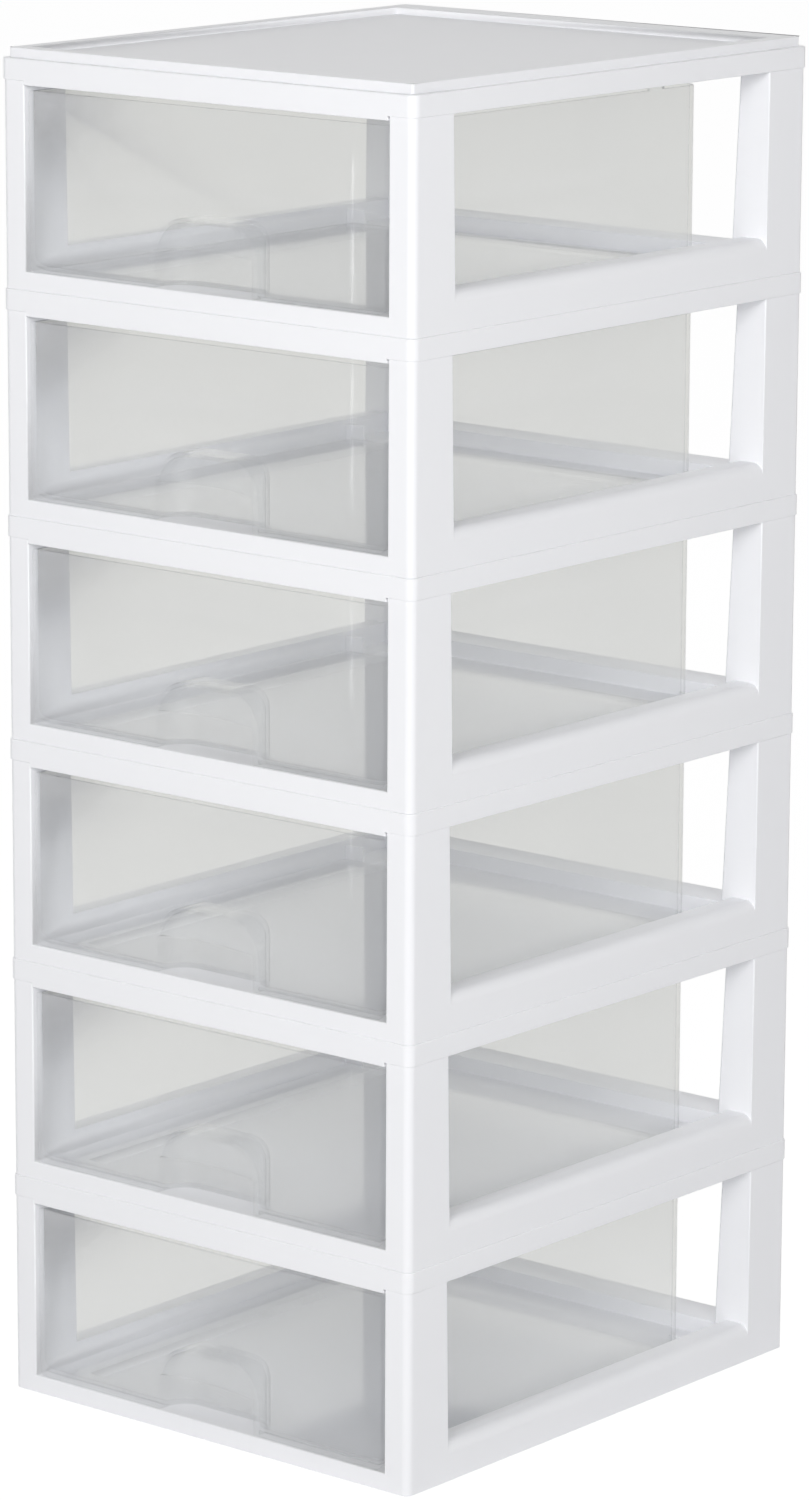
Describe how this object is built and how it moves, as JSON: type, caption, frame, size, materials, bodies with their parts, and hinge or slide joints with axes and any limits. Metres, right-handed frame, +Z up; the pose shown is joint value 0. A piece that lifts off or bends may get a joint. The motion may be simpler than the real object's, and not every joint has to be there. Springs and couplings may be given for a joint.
{
  "type": "drawer tower",
  "caption": "Tall white plastic tower of stacked open-sided drawer units, each with a clear sliding drawer that has a moulded finger pull.",
  "frame": {"origin": "centre of the tower's footprint, on the surface it stands on", "axes": "+Z up the tower, -Y towards the drawer fronts, +X to the right of someone facing the drawers"},
  "size_m": [0.27, 0.318, 0.704],
  "materials": {
    "frame_plastic": "white moulded plastic with a fine satin surface",
    "drawer_plastic": "clear, faintly grey moulded plastic, glossy inside and out"
  },
  "bodies": {
    "tower": {"base_frame_1": "frame_plastic", "top_frame_1": "frame_plastic", "base_frame_2": "frame_plastic", "top_frame_2": "frame_plastic", "base_frame_3": "frame_plastic", "top_frame_3": "frame_plastic", "base_frame_4": "frame_plastic", "top_frame_4": "frame_plastic", "base_frame_5": "frame_plastic", "top_frame_5": "frame_plastic", "base_frame_6": "frame_plastic", "top_frame_6": "frame_plastic"},
    "drawer_body_1": {"drawer_1": "drawer_plastic"},
    "drawer_body_2": {"drawer_2": "drawer_plastic"},
    "drawer_body_3": {"drawer_3": "drawer_plastic"},
    "drawer_body_4": {"drawer_4": "drawer_plastic"},
    "drawer_body_5": {"drawer_5": "drawer_plastic"},
    "drawer_body_6": {"drawer_6": "drawer_plastic"}
  },
  "joints": [
    {"name": "drawer_1_slide", "type": "slide", "parent": "tower", "child": "drawer_body_1", "axis": [0, -1, 0], "range_m": [0, 0.205]},
    {"name": "drawer_2_slide", "type": "slide", "parent": "tower", "child": "drawer_body_2", "axis": [0, -1, 0], "range_m": [0, 0.205]},
    {"name": "drawer_3_slide", "type": "slide", "parent": "tower", "child": "drawer_body_3", "axis": [0, -1, 0], "range_m": [0, 0.205]},
    {"name": "drawer_4_slide", "type": "slide", "parent": "tower", "child": "drawer_body_4", "axis": [0, -1, 0], "range_m": [0, 0.205]},
    {"name": "drawer_5_slide", "type": "slide", "parent": "tower", "child": "drawer_body_5", "axis": [0, -1, 0], "range_m": [0, 0.205]},
    {"name": "drawer_6_slide", "type": "slide", "parent": "tower", "child": "drawer_body_6", "axis": [0, -1, 0], "range_m": [0, 0.205]}
  ]
}
